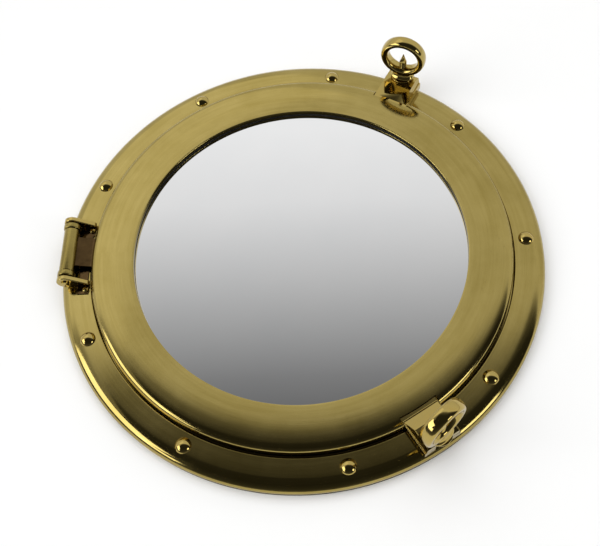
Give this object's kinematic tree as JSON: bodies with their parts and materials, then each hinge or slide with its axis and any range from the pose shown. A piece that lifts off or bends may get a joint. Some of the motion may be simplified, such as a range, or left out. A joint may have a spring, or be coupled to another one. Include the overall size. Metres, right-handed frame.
{
  "type": "opening porthole",
  "caption": "Round opening porthole: flanged ring, hinged door ring glazed with a mirror, and swing-bolt dogs with ring nuts.",
  "frame": {"origin": "centre of the ring at the flange's mounting face, which is the lowest plane", "axes": "+Z out of the face of the porthole; the hinge is on the -X side with its pin along Y; the dogs stand either side of +X"},
  "size_m": [0.381, 0.381, 0.0686],
  "materials": {
    "cast_brass": "spun and polished, lacquered",
    "polished_brass": "bright polished",
    "mirror": "silvered float glass",
    "rubber": "black",
    "board": "dark hardboard"
  },
  "bodies": {
    "frame": {"mounting_flange": "cast_brass", "door_gasket": "rubber", "flange_rivet_1": "polished_brass", "flange_rivet_2": "polished_brass", "flange_rivet_3": "polished_brass", "flange_rivet_4": "polished_brass", "flange_rivet_5": "polished_brass", "flange_rivet_6": "polished_brass", "flange_rivet_7": "polished_brass", "flange_rivet_8": "polished_brass", "flange_rivet_9": "polished_brass", "hinge_bracket": "polished_brass", "hinge_pin": "polished_brass", "hinge_collar_1": "polished_brass", "hinge_collar_2": "polished_brass", "hinge_screw_1": "polished_brass", "hinge_screw_2": "polished_brass", "dog_clevis_1": "polished_brass", "dog_pivot_pin_1": "polished_brass", "dog_clevis_2": "polished_brass", "dog_pivot_pin_2": "polished_brass"},
    "door": {"door_ring": "cast_brass", "glazing_gasket": "rubber", "mirror_glass": "mirror", "backing_board": "board", "retaining_ring": "cast_brass", "retainer_screw_1": "polished_brass", "retainer_screw_2": "polished_brass", "retainer_screw_3": "polished_brass", "retainer_screw_4": "polished_brass", "retainer_screw_5": "polished_brass", "retainer_screw_6": "polished_brass", "hinge_strap": "polished_brass", "strap_screw_1": "polished_brass", "strap_screw_2": "polished_brass", "door_lug_1": "polished_brass", "door_lug_2": "polished_brass"},
    "bolt_1": {"swing_bolt_1": "polished_brass"},
    "washer_1": {"dog_washer_1": "polished_brass"},
    "nut_1": {"ring_nut_1": "polished_brass"},
    "bolt_2": {"swing_bolt_2": "polished_brass"},
    "washer_2": {"dog_washer_2": "polished_brass"},
    "nut_2": {"ring_nut_2": "polished_brass"}
  },
  "joints": [
    {"name": "door_hinge", "type": "hinge", "parent": "frame", "child": "door", "pos_m": [-0.183, 0.0034, 0.0183], "axis": [0, -1, 0], "range_deg": [0, 110]},
    {"name": "dog_swing_1", "type": "hinge", "parent": "frame", "child": "bolt_1", "pos_m": [0.09175, 0.15892, 0.0145], "axis": [-0.866, 0.5, 0], "range_deg": [0, 75]},
    {"name": "washer_lift_1", "type": "slide", "parent": "bolt_1", "child": "washer_1", "axis": [0, 0, 1], "range_m": [0, 0.00305]},
    {"name": "nut_spin_1", "type": "hinge", "parent": "washer_1", "child": "nut_1", "pos_m": [0.09175, 0.15892, 0.03], "axis": [0, 0, 1], "range_deg": [0, 1080]},
    {"name": "dog_swing_2", "type": "hinge", "parent": "frame", "child": "bolt_2", "pos_m": [0.09369, -0.15778, 0.0145], "axis": [0.8599, 0.5105, 0], "range_deg": [0, 75]},
    {"name": "washer_lift_2", "type": "slide", "parent": "bolt_2", "child": "washer_2", "axis": [0, 0, 1], "range_m": [0, 0.00305]},
    {"name": "nut_spin_2", "type": "hinge", "parent": "washer_2", "child": "nut_2", "pos_m": [0.09369, -0.15778, 0.03], "axis": [0, 0, 1], "range_deg": [0, 1080]}
  ],
  "couplings": [
    {"joint": "washer_lift_1", "follows": "nut_spin_1", "m_per_rad": 0.00015915},
    {"joint": "washer_lift_2", "follows": "nut_spin_2", "m_per_rad": 0.00015915}
  ]
}
